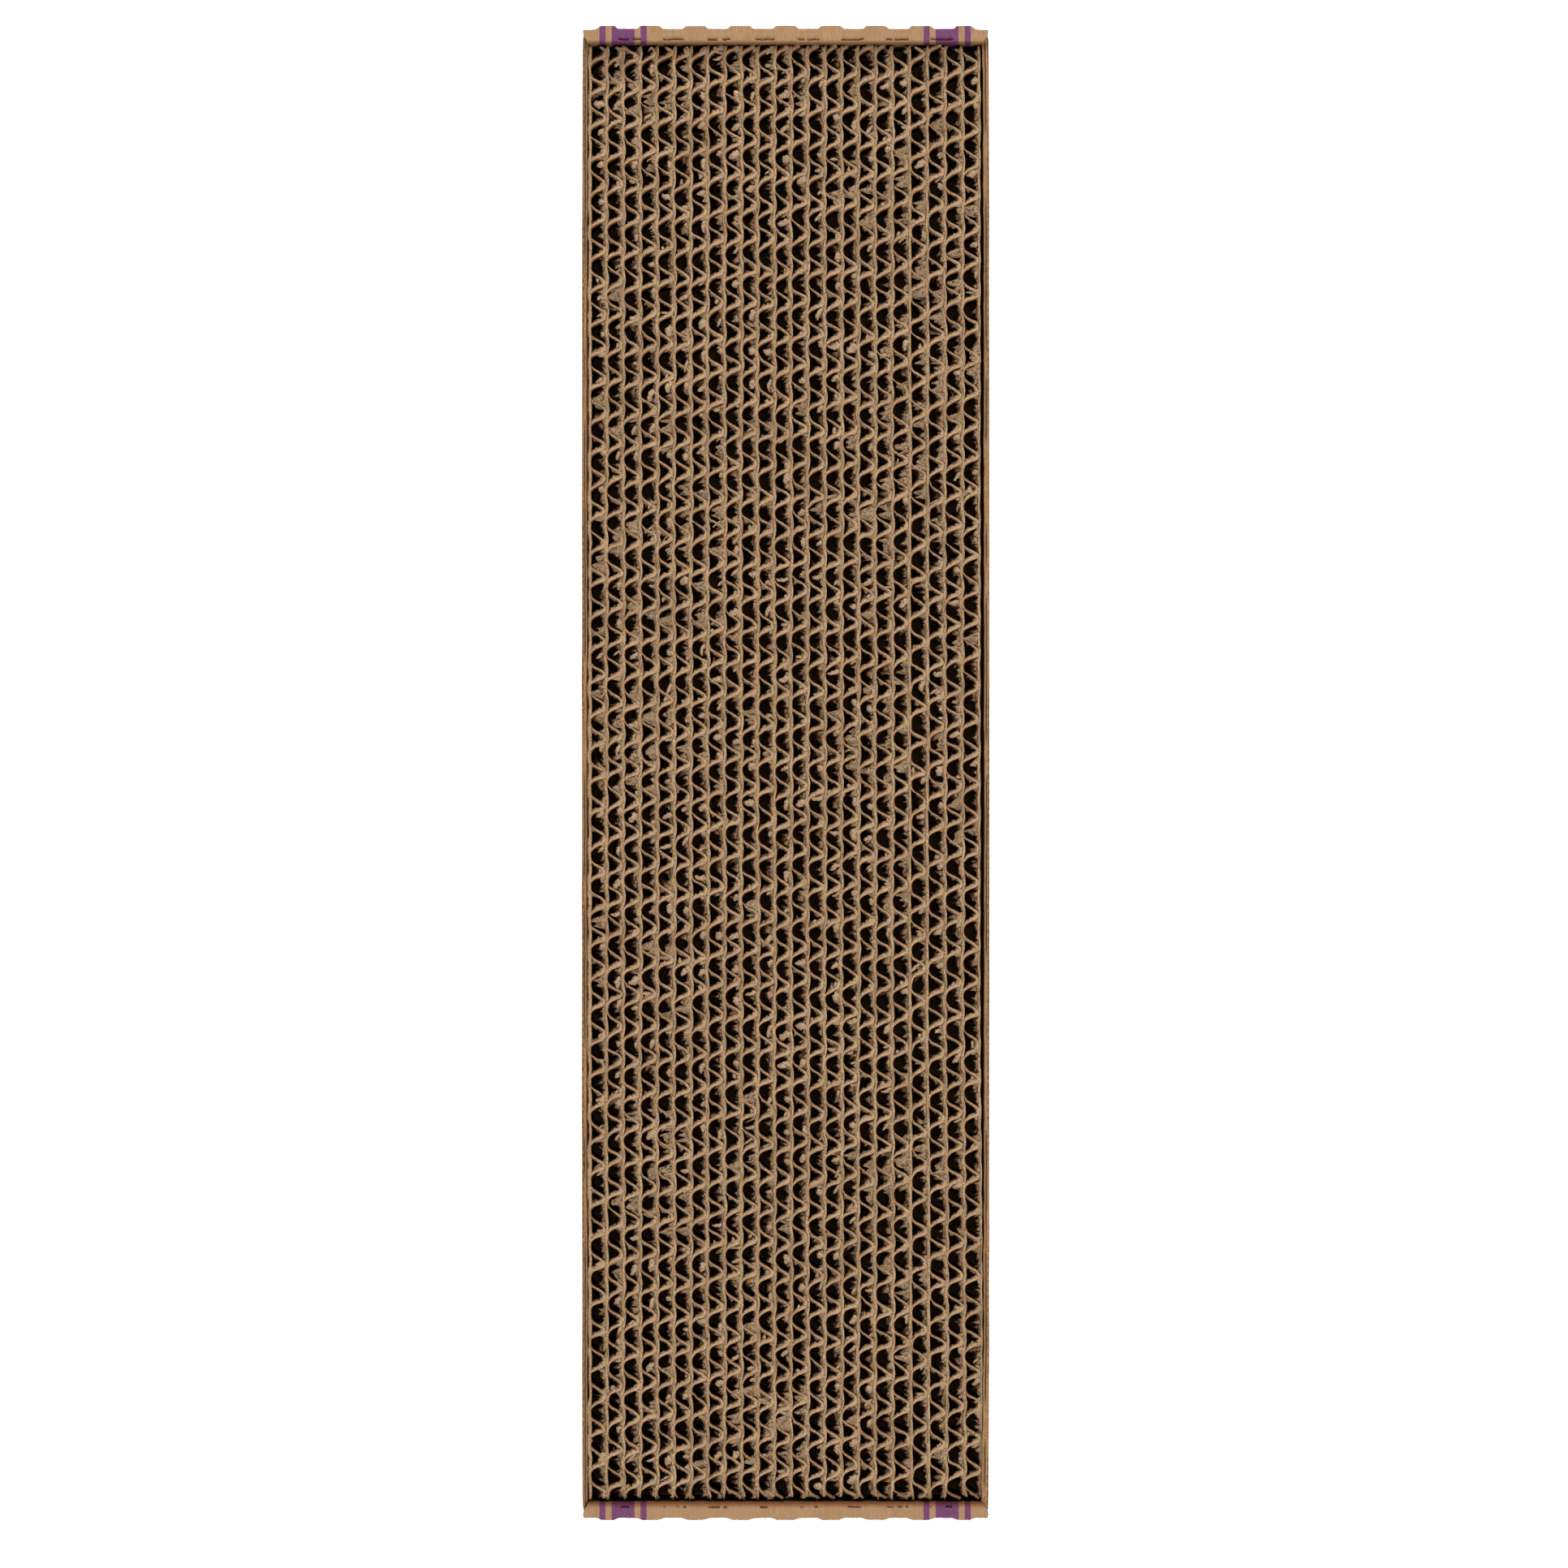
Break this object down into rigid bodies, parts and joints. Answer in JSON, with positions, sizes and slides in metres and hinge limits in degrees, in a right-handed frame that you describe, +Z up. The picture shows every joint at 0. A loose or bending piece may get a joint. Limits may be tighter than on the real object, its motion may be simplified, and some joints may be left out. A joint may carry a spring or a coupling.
{
  "type": "cardboard cat scratcher",
  "caption": "Long low cat scratcher: corrugated board strips glued on edge into a reversible pad, dropped loose into a folded cardboard tray with rolled-over end walls.",
  "frame": {"origin": "on the floor at the middle of the tray's underside", "axes": "+X across the strips to the right, +Y along the strips towards the rear end, +Z up through the pad's open flutes"},
  "size_m": [0.1208, 0.4428, 0.05],
  "materials": {
    "tray_board": "brown kraft single-wall board, matt, fold lines cracked at the ledges",
    "flap_board": "brown kraft single-wall board, matt",
    "pad_board": "sawn edges of kraft corrugated board, fuzzy with torn paper fibre"
  },
  "bodies": {
    "tray": {"tray_bottom": "tray_board", "tray_left_wall": "tray_board", "tray_right_wall": "tray_board", "front_outer_panel": "tray_board", "front_ledge": "tray_board", "front_inner_panel": "tray_board", "rear_outer_panel": "tray_board", "rear_ledge": "tray_board", "rear_inner_panel": "tray_board", "front_left_flap": "flap_board", "front_right_flap": "flap_board", "rear_left_flap": "flap_board", "rear_right_flap": "flap_board"},
    "pad": {"pad_strip_01": "pad_board", "pad_strip_02": "pad_board", "pad_strip_03": "pad_board", "pad_strip_04": "pad_board", "pad_strip_05": "pad_board", "pad_strip_06": "pad_board", "pad_strip_07": "pad_board", "pad_strip_08": "pad_board", "pad_strip_09": "pad_board", "pad_strip_10": "pad_board", "pad_strip_11": "pad_board", "pad_strip_12": "pad_board", "pad_strip_13": "pad_board", "pad_strip_14": "pad_board", "pad_strip_15": "pad_board", "pad_strip_16": "pad_board", "pad_strip_17": "pad_board", "pad_strip_18": "pad_board", "pad_strip_19": "pad_board", "pad_strip_20": "pad_board", "pad_strip_21": "pad_board", "pad_strip_22": "pad_board", "pad_strip_23": "pad_board"}
  },
  "joints": [
    {"name": "pad_lift", "type": "slide", "parent": "tray", "child": "pad", "axis": [0, 0, 1], "range_m": [0, 0.055]}
  ]
}
